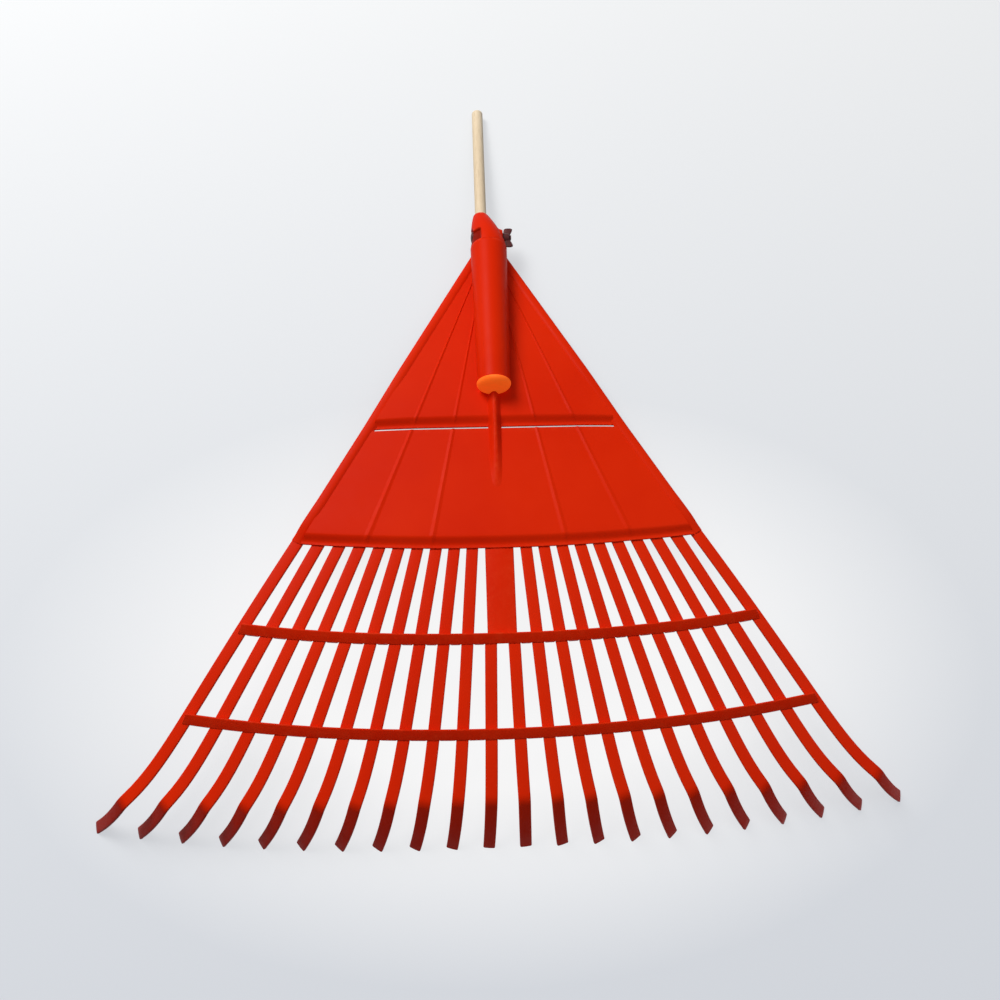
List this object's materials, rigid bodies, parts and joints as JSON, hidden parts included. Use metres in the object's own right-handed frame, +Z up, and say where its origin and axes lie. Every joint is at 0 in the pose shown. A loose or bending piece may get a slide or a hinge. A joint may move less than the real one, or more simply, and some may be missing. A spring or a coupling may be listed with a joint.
{
  "type": "leaf rake",
  "caption": "Fan-shaped plastic leaf rake: ribbed triangular plate, long hooked tines joined by curved crossbars, socket tube with end plug, slim wooden handle.",
  "frame": {"origin": "centre of the bottom of the whole rake's box: the middle of its footprint, on the ground that the tine feet and the handle's end rest on", "axes": "+Z is up; +Y runs from the tine tips to the handle's end; +X is to the right when looking along +Y from the tips, the side of the wing nut"},
  "size_m": [0.6618, 0.7084, 0.0561],
  "materials": {
    "head_red": "orange-red injection moulded plastic, satin",
    "plug_orange": "bright orange moulded plastic, satin",
    "handle_wood": "pale turned wood, bare",
    "fastener_dark": "dark maroon coated steel"
  },
  "bodies": {
    "rake": {"centre_strip": "head_red", "collar": "head_red", "cross_bolt": "fastener_dark", "crossbar_1": "head_red", "crossbar_2": "head_red", "edge_rib_left": "head_red", "edge_rib_right": "head_red", "end_plug": "plug_orange", "handle": "handle_wood", "socket_tube": "head_red", "spine_gusset": "head_red", "tine_01": "head_red", "tine_02": "head_red", "tine_03": "head_red", "tine_04": "head_red", "tine_05": "head_red", "tine_06": "head_red", "tine_07": "head_red", "tine_08": "head_red", "tine_09": "head_red", "tine_10": "head_red", "tine_11": "head_red", "tine_12": "head_red", "tine_13": "head_red", "tine_14": "head_red", "tine_15": "head_red", "tine_16": "head_red", "tine_17": "head_red", "tine_18": "head_red", "tine_19": "head_red", "tine_20": "head_red", "tine_21": "head_red", "tine_22": "head_red", "web_lower": "head_red", "web_upper": "head_red"},
    "nut": {"wing_nut": "fastener_dark"}
  },
  "joints": [
    {"name": "wing_nut_turn", "type": "hinge", "parent": "rake", "child": "nut", "pos_m": [0.0141, 0.19473, 0.02303], "axis": [1, 0, 0], "continuous": true}
  ]
}
